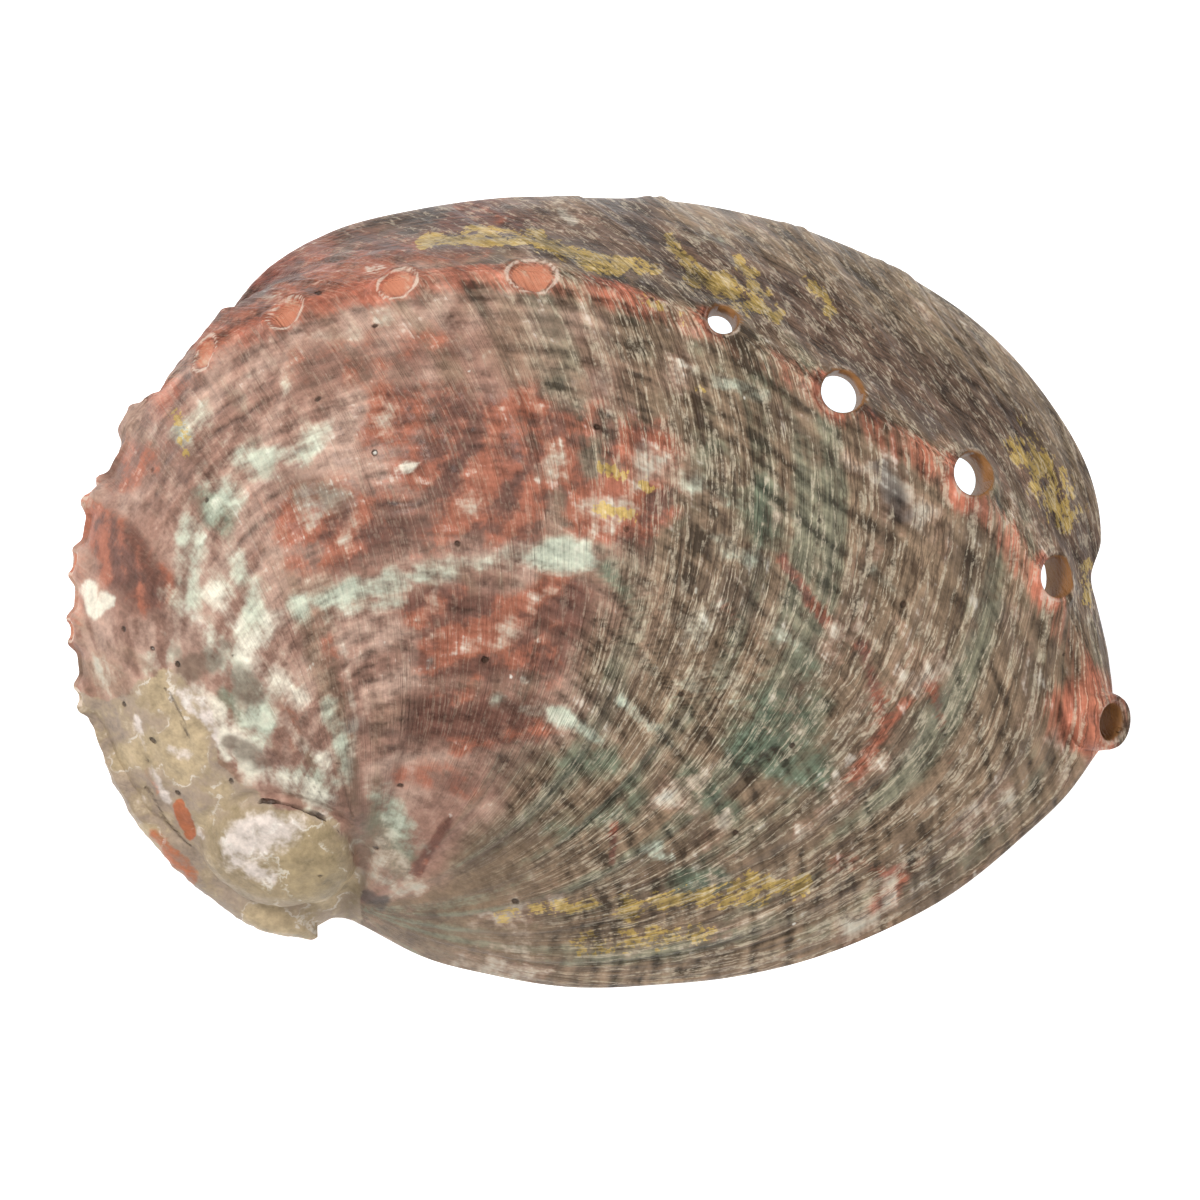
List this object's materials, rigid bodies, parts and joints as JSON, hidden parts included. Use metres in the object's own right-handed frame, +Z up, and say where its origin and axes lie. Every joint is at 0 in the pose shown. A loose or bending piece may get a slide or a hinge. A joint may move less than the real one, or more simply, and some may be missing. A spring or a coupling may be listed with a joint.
{
  "type": "abalone shell",
  "caption": "Ear-shaped abalone shell lying mouth down, with a row of raised breathing holes and a worn flat spire.",
  "frame": {"origin": "on the rim plane, under the middle of the shell's box", "axes": "+X along the length to the growing lip, +Y to the side with the row of holes, +Z up through the dome"},
  "size_m": [0.1294, 0.0963, 0.0357],
  "materials": {
    "shell": "semi-gloss mottled shell, pearly inside"
  },
  "bodies": {
    "root": {"shell": "shell"}
  },
  "joints": []
}
